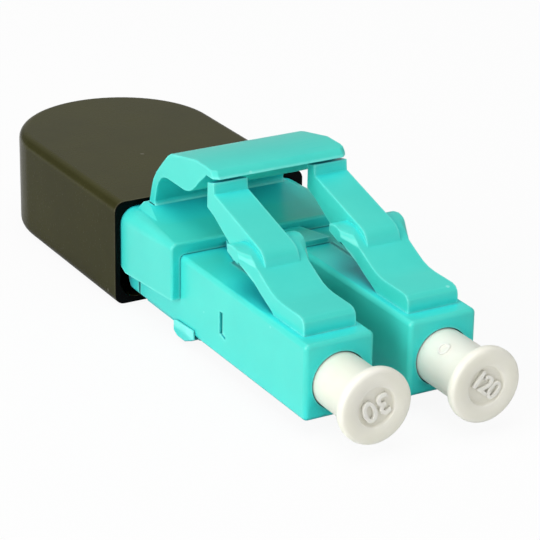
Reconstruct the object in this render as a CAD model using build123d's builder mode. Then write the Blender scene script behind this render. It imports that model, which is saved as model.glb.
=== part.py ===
from build123d import *
import os
from math import acos, cos, degrees, radians, sin, sqrt

os.makedirs("parts", exist_ok=True)

# Millimetres. X runs across the module, Y from the plug faces to the rear, Z up.
# The origin is the middle of the module's footprint, on the surface it rests on.

# Plug pair
plug_pitch = 6.25
plug_width = 4.1
plug_height = 4.3
plug_length = 18.35
plug_base_z = 0.85
plug_front_y = -16.65
plug_edge_radius = 0.3
plug_face_radius = 0.28
plug_bore = 3.24
plug_bore_drop = 0.18
plug_bore_depth = 7.0
ferrule_web = 0.9
ferrule_web_hole = 1.9
spring_chamber = 2.9
top_slot_width = 0.22
top_slot_start = 8.9
top_slot_length = 2.5
top_slot_depth = 0.3
snap_slit_back = 8.87
snap_slit_width = 0.34
snap_slit_height = 1.3
snap_slit_base = 1.42
snap_foot_length = 0.5

# Latch
latch_root_start = 1.05
latch_root_length = 3.3
latch_root_rise = 1.0
latch_root_width = 3.1
latch_root_radius = 0.3
latch_hinge_back = 4.65
latch_hinge_rise = 0.62
latch_knuckle_radius = 0.47
latch_arm_width = 2.1
latch_ear_width = 4.1
latch_ear_start = 6.1
latch_ear_end = 8.25
latch_shoulder_back = 5.95
latch_shoulder_rise = 1.45
latch_bend_back = 7.55
latch_bend_rise = 2.92
latch_tail_start = 11.6
latch_tail_end = 12.35
latch_tail_rise = 4.06
latch_tail_depth = 1.45
latch_belly_back = 9.86
latch_belly_rise = 1.87
latch_clearance = 0.06

# Ferrule assembly
ferrule_diameter = 1.25
ferrule_length = 6.4
ferrule_tip_inset = 0.3
ferrule_chamfer = 0.12
holder_nose_diameter = 1.7
holder_flange_diameter = 2.5
holder_flange_length = 1.1
holder_stem_diameter = 1.35
holder_stem_length = 3.4
holder_bore = 1.0
spring_wire = 0.26
spring_mean_diameter = 2.0
spring_length = 5.6
spring_turns = 7
rear_body_plug_diameter = 2.7
rear_body_gap = 0.22
rear_body_collar_length = 1.25
rear_body_collar_corner = 0.85
rear_body_tail_width = 3.0
rear_body_tail_length = 2.9
rear_body_bore = 1.0
sleeve_diameter = 1.7
sleeve_length = 2.6
sleeve_overlap = 0.9

# Fibre loop
fibre_diameter = 0.9
loop_radius = 5.0
loop_entry_radius = 5.0
loop_inset = 0.06
fibre_end_back = 11.0

# Dust caps
cap_tube_diameter = 3.12
cap_tube_insert = 4.2
cap_bore = 1.5
cap_flange_diameter = 4.16
cap_flange_thickness = 0.62
cap_rim_radius = 0.2
cap_left_reach = 3.6
cap_right_reach = 4.1
cap_recess_diameter = 2.15
cap_recess_depth = 0.12
cap_web = 0.7

# Clip cover
cover_front_back = 13.5
cover_length = 6.6
cover_side = 0.575
cover_roof = 0.73
cover_overhang = 1.2
cover_skirt_front = 1.72
cover_skirt_rear = 1.28
cover_front_radius = 0.4
cover_rear_radius = 0.95
cover_edge_radius = 0.16
pocket_clearance = 0.03
tongue_length = 2.15
tongue_root_width = 4.7
tongue_tip_width = 6.1
tongue_thickness = 0.32
spigot_length = 2.9
spigot_side_inset = 0.15
spigot_inset = 0.12
spigot_radius = 1.2
step_rise = 0.32
step_front = 0.45
step_ramp = 1.5
step_rear = 0.42
step_end_width = 0.24

# Trigger
trigger_foot_back = 18.85
trigger_foot_rise = 0.04
trigger_knuckle_radius = 0.3
trigger_leg_thickness = 0.6
trigger_knee_run = 0.3
trigger_knee_rise = 1.45
trigger_hip_run = 0.83
trigger_hip_rise = 2.4
trigger_brow_run = 2.3
trigger_brow_rise = 3.87
trigger_ridge_run = 2.8
trigger_ridge_rise = 4.06
trigger_top_rise = 4.6
trigger_crown_back = 13.7
trigger_lip_back = 11.47
trigger_lip_flat = 0.7
trigger_lip_thickness = 0.5
trigger_groove_length = 1.3
trigger_body_start = 14.7
trigger_body_nose = 1.1
trigger_body_rise = 2.42
trigger_arch_run = 1.35
trigger_arch_drop = 0.75
trigger_edge_radius = 0.16
trigger_clearance = 0.06

# Clip base
base_inset = 0.575
base_thickness = 0.42
base_start_back = 12.3
base_length = 6.3
base_gap = 0.03
base_web_width = 1.8
base_web_rise = 1.2
lug_start_back = 11.8
lug_length = 2.3
lug_depth = 0.52
lug_rise = 0.5
lug_overhang = 0.14
lug_edge_radius = 0.1
lug_width = 0.75

# Rear housing
housing_rear_drop = 0.1
housing_overlap = 0.5
housing_length = 17.8
housing_wall = 0.34
housing_mouth_gap = 0.05
housing_edge_radius = 0.6
housing_hollow_radius = 1.1

plug_mid_z = plug_base_z + plug_height / 2
axis_z = plug_mid_z - plug_bore_drop
plug_top_z = plug_base_z + plug_height
pair_width = plug_pitch + plug_width
cover_width = pair_width + 2 * cover_side
cover_top_z = plug_top_z + cover_roof
step_top_z = cover_top_z + step_rise
cover_end = cover_front_back + cover_length
trigger_width = plug_pitch + latch_arm_width
housing_width = cover_width + 2 * (housing_mouth_gap + housing_wall)
housing_height = cover_top_z + housing_mouth_gap + housing_wall
housing_front_back = cover_end - housing_overlap
housing_end = housing_front_back + housing_length
round_back = housing_end - housing_width / 2
loop_centre_back = round_back - loop_inset
sides = ((-1, "left"), (1, "right"))


def back(distance):
    """Y of a point this far behind the plug faces."""
    return plug_front_y + distance


def across(x, distance, z):
    """Plane across the module, local X and Y along the module's X and Z."""
    return Plane((x, back(distance), z), x_dir=(1, 0, 0), z_dir=(0, -1, 0))


def side_on(x):
    """Plane seen from the side, local X and Y along the module's Y and Z."""
    return Plane((x, 0, 0), x_dir=(0, 1, 0), z_dir=(1, 0, 0))


def place(*points):
    """Side view points from distance behind the faces and height over the plugs' tops."""
    return [(back(b), plug_top_z + r) for b, r in points]


# Plug housings, each moulded with the fixed root of its latch
plugs = []
for side, tag in sides:
    centre = side * plug_pitch / 2
    with BuildPart() as plug:
        with BuildSketch(across(centre, 0, plug_mid_z)):
            RectangleRounded(plug_width, plug_height, plug_edge_radius)
        extrude(amount=-plug_length)
        fillet(plug.faces().sort_by(Axis.Y)[0].edges(), radius=plug_face_radius)
        with BuildSketch(side_on(centre)):
            with BuildLine():
                Polyline(
                    *place(
                        (latch_root_start, -0.4),
                        (latch_root_start, latch_root_rise),
                        (latch_root_start + latch_root_length - 0.4, latch_root_rise),
                        (latch_root_start + latch_root_length, latch_root_rise + 0.08),
                        (latch_root_start + latch_root_length, -0.4),
                    ),
                    close=True,
                )
            make_face()
        extrude(amount=latch_root_width / 2, both=True)
        front_edge = plug.edges().filter_by(Axis.X).filter_by(
            lambda e: e.center().Z > plug_top_z + 0.9 * latch_root_rise
        )
        fillet(front_edge.sort_by(Axis.Y)[0], radius=latch_root_radius)
        with BuildSketch(side_on(centre)):
            with Locations(place((latch_hinge_back, latch_hinge_rise))):
                Circle(latch_knuckle_radius + latch_clearance)
        extrude(amount=latch_root_width, both=True, mode=Mode.SUBTRACT)
        with BuildSketch(across(centre, 0, axis_z)):
            Circle(plug_bore / 2)
        extrude(amount=-plug_bore_depth, mode=Mode.SUBTRACT)
        with BuildSketch(across(centre, 0, axis_z)):
            Circle(ferrule_web_hole / 2)
        extrude(amount=-plug_length, mode=Mode.SUBTRACT)
        with BuildSketch(across(centre, plug_bore_depth + ferrule_web, axis_z)):
            Circle(spring_chamber / 2)
        extrude(amount=-plug_length, mode=Mode.SUBTRACT)
        with BuildSketch(Plane.XY.offset(plug_top_z)):
            with Locations((centre, back(top_slot_start + top_slot_length / 2))):
                Rectangle(top_slot_width, top_slot_length)
        extrude(amount=-top_slot_depth, mode=Mode.SUBTRACT)
        slit_z = plug_base_z + snap_slit_base
        with BuildSketch(side_on(centre)):
            with Locations((back(snap_slit_back), slit_z + snap_slit_height / 2)):
                Rectangle(snap_slit_width, snap_slit_height)
            with BuildLine():
                Polyline(
                    (back(snap_slit_back), slit_z - 0.04),
                    (back(snap_slit_back), slit_z + 0.14),
                    (back(snap_slit_back - snap_foot_length), slit_z + 0.02),
                    (back(snap_slit_back - snap_foot_length), slit_z - 0.16),
                    close=True,
                )
            make_face()
        extrude(amount=plug_width, both=True, mode=Mode.SUBTRACT)
    plug.part.label = "plug_housing_" + tag
    export_step(plug.part, "parts/plug_housing_" + tag + ".step")
    plugs.append(plug)

# Latches, each from its flexing start to the tail under the trigger
for side, tag in sides:
    centre = side * plug_pitch / 2
    with BuildPart() as latch:
        with BuildSketch(side_on(centre)):
            with BuildLine():
                Polyline(
                    *place(
                        (latch_hinge_back, latch_hinge_rise + latch_knuckle_radius),
                        (latch_shoulder_back + 0.15, latch_shoulder_rise + 0.1),
                        (latch_bend_back, latch_shoulder_rise + 0.2),
                        (latch_bend_back, latch_shoulder_rise + 0.06),
                        (latch_shoulder_back + 0.75, latch_hinge_rise + 0.47),
                        (latch_hinge_back, latch_hinge_rise - latch_knuckle_radius),
                    ),
                    close=True,
                )
            make_face()
            with Locations(place((latch_hinge_back, latch_hinge_rise))):
                Circle(latch_knuckle_radius)
        extrude(amount=latch_root_width / 2, both=True)
        with BuildSketch(side_on(centre)) as arm:
            with BuildLine():
                Polyline(
                    *place(
                        (latch_shoulder_back, latch_shoulder_rise - 0.3),
                        (latch_shoulder_back + 0.05, latch_shoulder_rise + 0.3),
                        (latch_shoulder_back + 0.45, latch_bend_rise - 0.4),
                        (latch_bend_back, latch_bend_rise),
                        (latch_tail_start, latch_tail_rise),
                        (latch_tail_start + 0.03, latch_tail_rise + 0.62),
                        (latch_tail_end, latch_tail_rise + 0.44),
                        (latch_tail_end, latch_tail_rise + 0.44 - latch_tail_depth),
                        (latch_tail_start, latch_tail_rise + 0.2 - latch_tail_depth),
                        (latch_belly_back, latch_belly_rise),
                        (latch_bend_back, latch_hinge_rise + 0.85),
                        (latch_shoulder_back + 0.75, latch_hinge_rise + 0.47),
                    ),
                    close=True,
                )
            make_face()
            bends = arm.vertices().filter_by(
                lambda v: back(latch_shoulder_back + 0.4) < v.X < back(latch_bend_back + 0.1)
                and v.Y > plug_top_z + latch_shoulder_rise + 0.5
            )
            fillet(bends, radius=0.5)
        extrude(amount=latch_arm_width / 2, both=True)
    with BuildPart() as ears:
        with BuildSketch(Plane.XY.offset(plug_top_z)):
            with BuildLine():
                Polyline(
                    (centre - latch_root_width / 2, back(latch_ear_start)),
                    (centre + latch_root_width / 2, back(latch_ear_start)),
                    (centre + latch_ear_width / 2, back(latch_ear_start + 0.75)),
                    (centre + latch_ear_width / 2, back(latch_ear_end - 0.3)),
                    (centre + latch_ear_width / 2 - 0.3, back(latch_ear_end)),
                    (centre - latch_ear_width / 2 + 0.3, back(latch_ear_end)),
                    (centre - latch_ear_width / 2, back(latch_ear_end - 0.3)),
                    (centre - latch_ear_width / 2, back(latch_ear_start + 0.75)),
                    close=True,
                )
            make_face()
        extrude(amount=2 * latch_bend_rise)
        with BuildSketch(side_on(centre)) as ear_side:
            with BuildLine():
                Polyline(
                    *place(
                        (latch_ear_start - 0.3, latch_shoulder_rise - 0.1),
                        (latch_ear_start - 0.25, latch_shoulder_rise + 0.1),
                        (latch_ear_start + 0.05, latch_shoulder_rise + 0.45),
                        (latch_ear_start + 0.5, latch_bend_rise - 0.52),
                        (latch_ear_start + 1.0, latch_bend_rise - 0.28),
                        (latch_ear_end + 0.1, latch_bend_rise - 0.16),
                        (latch_ear_end + 0.1, latch_bend_rise - 0.72),
                        (latch_ear_end - 0.5, latch_bend_rise - 0.93),
                        (latch_ear_start + 0.8, latch_shoulder_rise + 0.3),
                        (latch_ear_start + 0.3, latch_shoulder_rise - 0.15),
                    ),
                    close=True,
                )
            make_face()
            humps = ear_side.vertices().filter_by(
                lambda v: back(latch_ear_start) < v.X < back(latch_ear_start + 1.1)
                and v.Y > plug_top_z + latch_shoulder_rise + 0.4
            )
            fillet(humps, radius=0.25)
        extrude(amount=latch_ear_width, both=True, mode=Mode.INTERSECT)
    with BuildPart() as whole_latch:
        add(latch.part)
        add(ears.part)
    whole_latch.part.label = "latch_" + tag
    export_step(whole_latch.part, "parts/latch_" + tag + ".step")

# Ferrules
for side, tag in sides:
    centre = side * plug_pitch / 2
    with BuildPart() as ferrule:
        with BuildSketch(across(centre, ferrule_tip_inset, axis_z)):
            Circle(ferrule_diameter / 2)
        extrude(amount=-ferrule_length)
        chamfer(ferrule.edges().sort_by(Axis.Y)[0], length=ferrule_chamfer)
    ferrule.part.label = "ferrule_" + tag
    export_step(ferrule.part, "parts/ferrule_" + tag + ".step")

# Ferrule holders: nose round the ferrule, flange on the web, stem inside the spring
flange_back = plug_bore_depth + ferrule_web + 0.05
for side, tag in sides:
    centre = side * plug_pitch / 2
    nose_back = ferrule_tip_inset + ferrule_length - 1.4
    with BuildPart() as holder:
        with BuildSketch(across(centre, nose_back, axis_z)):
            Circle(holder_nose_diameter / 2)
        extrude(amount=nose_back - flange_back - holder_flange_length / 2)
        with BuildSketch(across(centre, flange_back, axis_z)):
            RegularPolygon(holder_flange_diameter / 2, 6)
        extrude(amount=-holder_flange_length)
        with BuildSketch(across(centre, flange_back + holder_flange_length / 2, axis_z)):
            Circle(holder_stem_diameter / 2)
        extrude(amount=-(holder_flange_length / 2 + holder_stem_length))
        with BuildSketch(across(centre, nose_back, axis_z)):
            Circle(ferrule_diameter / 2)
        extrude(amount=-1.4, mode=Mode.SUBTRACT)
        with BuildSketch(across(centre, flange_back + holder_flange_length, axis_z)):
            Circle(holder_bore / 2)
        extrude(amount=-holder_stem_length - 0.1, mode=Mode.SUBTRACT)
    holder.part.label = "ferrule_holder_" + tag
    export_step(holder.part, "parts/ferrule_holder_" + tag + ".step")

# Springs behind the holders
spring_start = flange_back + holder_flange_length + spring_wire / 2 + 0.02
for side, tag in sides:
    centre = side * plug_pitch / 2
    coil_height = spring_length - spring_wire
    with BuildPart() as spring:
        with BuildLine():
            coil = Helix(
                pitch=coil_height / spring_turns,
                height=coil_height,
                radius=spring_mean_diameter / 2,
                center=(centre, back(spring_start), axis_z),
                direction=(0, 1, 0),
            )
        with BuildSketch(Plane(coil @ 0, z_dir=coil % 0)):
            Circle(spring_wire / 2)
        sweep(path=coil, is_frenet=True)
    spring.part.label = "spring_" + tag
    export_step(spring.part, "parts/spring_" + tag + ".step")

# Rear bodies: a spigot that stops the spring, a collar and a tail
spring_stop = spring_start - spring_wire / 2 + spring_length + 0.04
for side, tag in sides:
    centre = side * plug_pitch / 2
    collar_back = plug_length + rear_body_gap
    collar_end = collar_back + rear_body_collar_length
    with BuildPart() as rear_body:
        with BuildSketch(across(centre, collar_back, plug_mid_z)):
            RectangleRounded(plug_width, plug_height, plug_edge_radius)
        extrude(amount=-rear_body_collar_length)
        with BuildSketch(side_on(centre)) as collar_side:
            with Locations((back((collar_back + collar_end) / 2), plug_mid_z)):
                Rectangle(rear_body_collar_length, plug_height)
            low = collar_side.vertices().group_by(Axis.Y)[0].sort_by(Axis.X)[-1]
            fillet(low, radius=rear_body_collar_corner)
        extrude(amount=plug_width, both=True, mode=Mode.INTERSECT)
        with BuildSketch(across(centre, spring_stop, axis_z)):
            Circle(rear_body_plug_diameter / 2)
        extrude(amount=spring_stop - collar_back - rear_body_collar_length / 2)
        with BuildSketch(across(centre, collar_end - 0.1, axis_z)):
            RectangleRounded(rear_body_tail_width, rear_body_tail_width, 0.4)
        extrude(amount=-rear_body_tail_length - 0.1)
        with BuildSketch(across(centre, spring_stop, axis_z)):
            Circle(rear_body_bore / 2)
        extrude(amount=-plug_length, mode=Mode.SUBTRACT)
        with BuildSketch(across(centre, collar_end + rear_body_tail_length, axis_z)):
            Circle(sleeve_diameter / 2 + 0.02)
        extrude(amount=sleeve_overlap, mode=Mode.SUBTRACT)
    rear_body.part.label = "rear_body_" + tag
    export_step(rear_body.part, "parts/rear_body_" + tag + ".step")

# Strain sleeves on the fibre where it leaves the rear bodies
sleeve_back = plug_length + rear_body_gap + rear_body_collar_length + rear_body_tail_length
for side, tag in sides:
    centre = side * plug_pitch / 2
    with BuildPart() as sleeve:
        with BuildSketch(across(centre, sleeve_back - sleeve_overlap + 0.02, axis_z)):
            Circle(sleeve_diameter / 2)
            Circle(fibre_diameter / 2 + 0.02, mode=Mode.SUBTRACT)
        extrude(amount=-sleeve_length)
        fillet(sleeve.edges().sort_by(Axis.Y)[-2:], radius=0.12)
    sleeve.part.label = "strain_sleeve_" + tag
    export_step(sleeve.part, "parts/strain_sleeve_" + tag + ".step")

# Fibre loop: out, round the rear of the housing and back, in one level plane
turn = acos((plug_pitch / 2 + loop_entry_radius) / (loop_radius + loop_entry_radius))
entry_back = loop_centre_back - (loop_radius + loop_entry_radius) * sin(turn)
with BuildPart() as fibre_loop:
    with BuildLine(Plane.XY.offset(axis_z)) as route:
        lead = Line(
            (-plug_pitch / 2, back(fibre_end_back)), (-plug_pitch / 2, back(entry_back))
        )
        out = JernArc(lead @ 1, lead % 1, loop_entry_radius, degrees(turn))
        bow = JernArc(out @ 1, out % 1, loop_radius, -180 - 2 * degrees(turn))
        home = JernArc(bow @ 1, bow % 1, loop_entry_radius, degrees(turn))
        Line(home @ 1, (plug_pitch / 2, back(fibre_end_back)))
    with BuildSketch(across(-plug_pitch / 2, fibre_end_back, axis_z)):
        Circle(fibre_diameter / 2)
    sweep(path=route.wires()[0])
fibre_loop.part.label = "fibre_loop"
export_step(fibre_loop.part, "parts/fibre_loop.step")

# Dust caps, a tube with a round flange and a shallow face recess
for side, tag in sides:
    centre = side * plug_pitch / 2
    reach = cap_left_reach if side < 0 else cap_right_reach
    with BuildPart() as cap:
        with BuildSketch(Plane((centre, 0, axis_z), x_dir=(0, 1, 0), z_dir=(-1, 0, 0))) as half:
            with BuildLine():
                Polyline(
                    (back(cap_tube_insert), 0),
                    (back(cap_tube_insert), -cap_tube_diameter / 2),
                    (back(cap_flange_thickness - reach), -cap_tube_diameter / 2),
                    (back(cap_flange_thickness - reach), -cap_flange_diameter / 2),
                    (back(-reach), -cap_flange_diameter / 2),
                    (back(-reach), 0),
                    close=True,
                )
            make_face()
            rim = half.vertices().filter_by(
                lambda v: abs(v.Z - axis_z) > cap_flange_diameter / 2 - 0.01
            )
            fillet(rim, radius=cap_rim_radius)
        revolve(axis=Axis((centre, 0, axis_z), (0, 1, 0)))
        with BuildSketch(across(centre, cap_tube_insert, axis_z)):
            Circle(cap_bore / 2)
        extrude(amount=cap_tube_insert + reach - cap_web, mode=Mode.SUBTRACT)
        with BuildSketch(across(centre, -reach, axis_z)):
            Circle(cap_recess_diameter / 2)
        extrude(amount=-cap_recess_depth, mode=Mode.SUBTRACT)
    cap.part.label = "dust_cap_" + tag
    export_step(cap.part, "parts/dust_cap_" + tag + ".step")

# Clip cover: a roof and skirts over both plugs, a tongue ahead and a spigot behind
section = cover_top_z - plug_base_z - min(cover_skirt_front, cover_skirt_rear)
section = section + cover_overhang
with BuildPart() as clip_cover:
    with BuildSketch(across(0, cover_front_back, cover_top_z - section / 2)):
        RectangleRounded(cover_width, section, cover_front_radius)
    with BuildSketch(across(0, cover_end, cover_top_z - section / 2)):
        RectangleRounded(cover_width, section, cover_rear_radius)
    loft(ruled=True)
    fillet(clip_cover.faces().sort_by(Axis.Y)[0].edges(), radius=cover_edge_radius)
    with BuildSketch(side_on(0)):
        with BuildLine():
            Polyline(
                (back(cover_front_back - 1), plug_base_z + cover_skirt_front + 0.08),
                (back(cover_end - 1.0), plug_base_z + cover_skirt_rear),
                (back(cover_end + 0.2), plug_base_z + cover_skirt_rear + 0.5),
                (back(cover_end + 0.2), plug_base_z - section),
                (back(cover_front_back - 1), plug_base_z - section),
                close=True,
            )
        make_face()
    extrude(amount=cover_width, both=True, mode=Mode.SUBTRACT)
    spigot_top = cover_top_z - spigot_inset
    spigot_low = plug_base_z + cover_skirt_front
    with BuildSketch(across(0, cover_end - 0.1, (spigot_top + spigot_low) / 2)) as spigot:
        Rectangle(cover_width - 2 * spigot_side_inset, spigot_top - spigot_low)
        fillet(spigot.vertices().group_by(Axis.Z)[-1], radius=spigot_radius)
    extrude(amount=-spigot_length - 0.1)
    for side, tag in sides:
        with BuildSketch(across(side * plug_pitch / 2, cover_front_back - 1, plug_mid_z)):
            RectangleRounded(
                plug_width + 2 * pocket_clearance,
                plug_height + 2 * pocket_clearance,
                plug_edge_radius,
            )
        extrude(amount=-cover_length - spigot_length - 2, mode=Mode.SUBTRACT)
    with BuildSketch(Plane.XY.offset(plug_top_z + pocket_clearance)):
        with BuildLine():
            Polyline(
                (-tongue_tip_width / 2, back(cover_front_back - tongue_length)),
                (tongue_tip_width / 2, back(cover_front_back - tongue_length)),
                (tongue_root_width / 2, back(cover_front_back)),
                (tongue_root_width / 2, back(cover_front_back + 0.3)),
                (-tongue_root_width / 2, back(cover_front_back + 0.3)),
                (-tongue_root_width / 2, back(cover_front_back)),
                close=True,
            )
        make_face()
    extrude(amount=tongue_thickness)
    with BuildSketch(side_on(0)):
        with BuildLine():
            Polyline(
                (back(trigger_foot_back - step_front - step_ramp), cover_top_z - 0.2),
                (back(trigger_foot_back - step_front - step_ramp), cover_top_z),
                (back(trigger_foot_back - step_front), step_top_z),
                (back(trigger_foot_back + step_rear), step_top_z),
                (back(trigger_foot_back + step_rear), cover_top_z - 0.2),
                close=True,
            )
        make_face()
    extrude(amount=trigger_width / 2 + trigger_clearance + step_end_width, both=True)
    with BuildSketch(side_on(0)):
        with Locations((back(trigger_foot_back), step_top_z + trigger_foot_rise)):
            Circle(trigger_knuckle_radius + trigger_clearance)
    extrude(amount=trigger_width / 2 + trigger_clearance, both=True, mode=Mode.SUBTRACT)
clip_cover.part.label = "clip_cover"
export_step(clip_cover.part, "parts/clip_cover.step")

# Trigger: a flexing leg, a thick body and a lip over the latch tails
foot_z = step_top_z - plug_top_z + trigger_foot_rise
roof = cover_roof
crown = roof + trigger_top_rise
leg_out = trigger_foot_back + trigger_knuckle_radius
leg_in = leg_out - trigger_leg_thickness
with BuildPart() as trigger:
    with BuildSketch(side_on(0)) as outline:
        with BuildLine():
            Polyline(
                *place(
                    (leg_out, foot_z),
                    (leg_out - trigger_knee_run, roof + trigger_knee_rise),
                    (leg_out - trigger_hip_run, roof + trigger_hip_rise),
                    (leg_out - trigger_brow_run, roof + trigger_brow_rise),
                    (leg_out - trigger_ridge_run, roof + trigger_ridge_rise),
                    (trigger_crown_back, crown),
                    (trigger_lip_back + trigger_lip_flat, crown),
                    (trigger_lip_back + 0.4 * trigger_lip_flat, crown - 0.16 * trigger_lip_thickness),
                    (trigger_lip_back, crown - trigger_lip_thickness),
                    (trigger_lip_back + trigger_groove_length, crown - trigger_lip_thickness),
                    (
                        trigger_body_start - trigger_body_nose,
                        roof + trigger_body_rise + 0.77 * trigger_body_nose,
                    ),
                    (
                        trigger_body_start - 0.5 * trigger_body_nose,
                        roof + trigger_body_rise + 0.23 * trigger_body_nose,
                    ),
                    (trigger_body_start + 0.27 * trigger_body_nose, roof + trigger_body_rise),
                    (leg_in - trigger_arch_run, roof + trigger_body_rise),
                    (
                        leg_in - 0.63 * trigger_arch_run,
                        roof + trigger_body_rise - 0.33 * trigger_arch_drop,
                    ),
                    (
                        leg_in - 0.27 * trigger_arch_run,
                        roof + trigger_body_rise - trigger_arch_drop,
                    ),
                    (leg_in, foot_z),
                ),
                close=True,
            )
        make_face()
        rounded = outline.vertices().filter_by(
            lambda v: v.Y > cover_top_z + 0.9 * trigger_knee_rise
            and v.X > back(trigger_lip_back) + 0.1 * trigger_lip_flat
        )
        fillet(rounded, radius=trigger_edge_radius)
        with Locations(place((trigger_foot_back, foot_z))):
            Circle(trigger_knuckle_radius)
    extrude(amount=trigger_width / 2, both=True)
trigger.part.label = "trigger"
export_step(trigger.part, "parts/trigger.step")

# Clip base: a tray under the plugs, a web between them and a lug at each front corner
base_top = plug_base_z - base_gap
with BuildPart() as clip_base:
    with BuildSketch(Plane.XY.offset(base_top)):
        with Locations((0, back(base_start_back + base_length / 2))):
            Rectangle(pair_width - 2 * base_inset, base_length)
    extrude(amount=-base_thickness)
    with BuildSketch(Plane.XY.offset(base_top - 0.1)):
        with Locations((0, back(base_start_back + base_length / 2 + 0.6))):
            Rectangle(base_web_width, base_length - 1.6)
    extrude(amount=base_web_rise)
    outer_x = plug_pitch / 2 + plug_width / 2
    for side, tag in sides:
        with BuildSketch(Plane.YZ.offset(side * (outer_x + lug_overhang - lug_width / 2))):
            with BuildLine():
                Polyline(
                    (back(lug_start_back), base_top + lug_rise),
                    (back(lug_start_back - 0.1), base_top),
                    (back(lug_start_back + 0.25), base_top - lug_depth * 0.4),
                    (back(lug_start_back + 1.0), base_top - lug_depth),
                    (back(lug_start_back + lug_length - 0.45), base_top - lug_depth),
                    (back(lug_start_back + lug_length), base_top - lug_depth * 0.6),
                    (back(lug_start_back + lug_length), base_top + lug_rise - 0.2),
                    (back(lug_start_back + lug_length - 0.4), base_top + lug_rise - 0.08),
                    close=True,
                )
            make_face()
        extrude(amount=lug_width / 2, both=True)
    low = clip_base.edges().filter_by(
        lambda e: abs(e.center().X) > outer_x + lug_overhang - 0.01
        and e.center().Z < base_top
    )
    fillet(low, radius=lug_edge_radius)
    for side, tag in sides:
        with BuildSketch(across(side * plug_pitch / 2, lug_start_back - 1, plug_mid_z)):
            Rectangle(plug_width + 2 * base_gap, plug_height + 2 * base_gap)
        extrude(amount=-lug_length - 2, mode=Mode.SUBTRACT)
clip_base.part.label = "clip_base"
export_step(clip_base.part, "parts/clip_base.step")


def plan(half_width, start, round_start):
    """Plan of the housing: straight sides and a half-round rear."""
    with BuildSketch() as outline_plan:
        with BuildLine():
            Line((half_width, back(round_start)), (half_width, back(start)))
            Line((half_width, back(start)), (-half_width, back(start)))
            Line((-half_width, back(start)), (-half_width, back(round_start)))
            ThreePointArc(
                (-half_width, back(round_start)),
                (0, back(round_start) + half_width),
                (half_width, back(round_start)),
            )
        make_face()
    return outline_plan.sketch


slope = housing_rear_drop / housing_length

# Hollow of the rear housing
with BuildPart() as hollow:
    add(plan(housing_width / 2 - housing_wall, housing_front_back - 0.5, round_back))
    extrude(amount=housing_height)
    with BuildSketch(side_on(0)):
        with BuildLine():
            Polyline(
                (back(housing_front_back - 1), housing_height - housing_wall + slope),
                (back(housing_end + 1), housing_height - housing_wall - housing_rear_drop - slope),
                (back(housing_end + 1), housing_height + 1),
                (back(housing_front_back - 1), housing_height + 1),
                close=True,
            )
        make_face()
    extrude(amount=housing_width, both=True, mode=Mode.SUBTRACT)
    with BuildSketch(Plane.XY):
        Rectangle(2 * housing_width, 4 * housing_length)
    extrude(amount=housing_wall, mode=Mode.SUBTRACT)
    inner_ring = hollow.faces().filter_by(
        lambda f: abs(f.normal_at(f.center()).Z) > 0.9
    ).edges().filter_by(lambda e: e.center().Y > back(housing_front_back) + 0.1)
    fillet(inner_ring, radius=housing_hollow_radius)

# Rear housing: a shell with a half-round rear and a roof that falls to the rear
with BuildPart() as rear_housing:
    add(plan(housing_width / 2, housing_front_back, round_back))
    extrude(amount=housing_height)
    with BuildSketch(side_on(0)):
        with BuildLine():
            Polyline(
                (back(housing_front_back - 1), housing_height + slope),
                (back(housing_end + 1), housing_height - housing_rear_drop - slope),
                (back(housing_end + 1), housing_height + 1),
                (back(housing_front_back - 1), housing_height + 1),
                close=True,
            )
        make_face()
    extrude(amount=housing_width, both=True, mode=Mode.SUBTRACT)
    ring = rear_housing.faces().filter_by(
        lambda f: abs(f.normal_at(f.center()).Z) > 0.9
    ).edges().filter_by(lambda e: e.center().Y > back(housing_front_back) + 0.1)
    fillet(ring, radius=housing_edge_radius)
    add(hollow.part, mode=Mode.SUBTRACT)
rear_housing.part.label = "rear_housing"
export_step(rear_housing.part, "parts/rear_housing.step")
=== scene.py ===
# %% [markdown]
# # A fibre loopback module, dressed for its picture
# The real part is a pair of fibre connectors in one clip, with a dark shell behind them.
# Inside the shell one glass fibre turns round and comes back,
# so that light sent into one plug returns from the other.
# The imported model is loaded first. It fixes where every piece is, and each piece made below keeps to its place.

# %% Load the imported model
from math import cos, pi, radians, sin

import bmesh
import bpy
from mathutils import Matrix, Vector


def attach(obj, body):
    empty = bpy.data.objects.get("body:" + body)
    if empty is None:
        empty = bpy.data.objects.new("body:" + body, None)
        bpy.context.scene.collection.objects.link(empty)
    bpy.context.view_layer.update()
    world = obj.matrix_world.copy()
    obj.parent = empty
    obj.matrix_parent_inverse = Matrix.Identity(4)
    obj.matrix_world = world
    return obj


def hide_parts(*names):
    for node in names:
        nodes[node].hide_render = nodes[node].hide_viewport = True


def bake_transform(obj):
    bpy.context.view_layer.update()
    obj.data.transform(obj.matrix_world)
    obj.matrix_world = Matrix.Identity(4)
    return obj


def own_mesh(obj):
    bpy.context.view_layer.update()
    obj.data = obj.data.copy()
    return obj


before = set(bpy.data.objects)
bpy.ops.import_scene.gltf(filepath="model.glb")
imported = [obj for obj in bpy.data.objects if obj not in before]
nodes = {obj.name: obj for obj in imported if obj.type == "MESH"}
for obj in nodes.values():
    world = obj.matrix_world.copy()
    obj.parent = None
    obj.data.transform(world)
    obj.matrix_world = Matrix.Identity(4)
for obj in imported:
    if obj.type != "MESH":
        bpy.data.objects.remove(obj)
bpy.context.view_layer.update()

# %% [markdown]
# ## Measures
# A maker reads this object in two numbers: how far behind the plug faces a point lies,
# and how high over the plugs' tops.
# One small helper turns those into metres in the model's own frame, so that the outlines below read like a drawing.

# %% Measures in millimetres
mm = 0.001
plug_faces = -16.65
plug_top = 5.15
plug_axis = 2.82
pitch = 6.25
sides = ((-1, "left"), (1, "right"))


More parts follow.
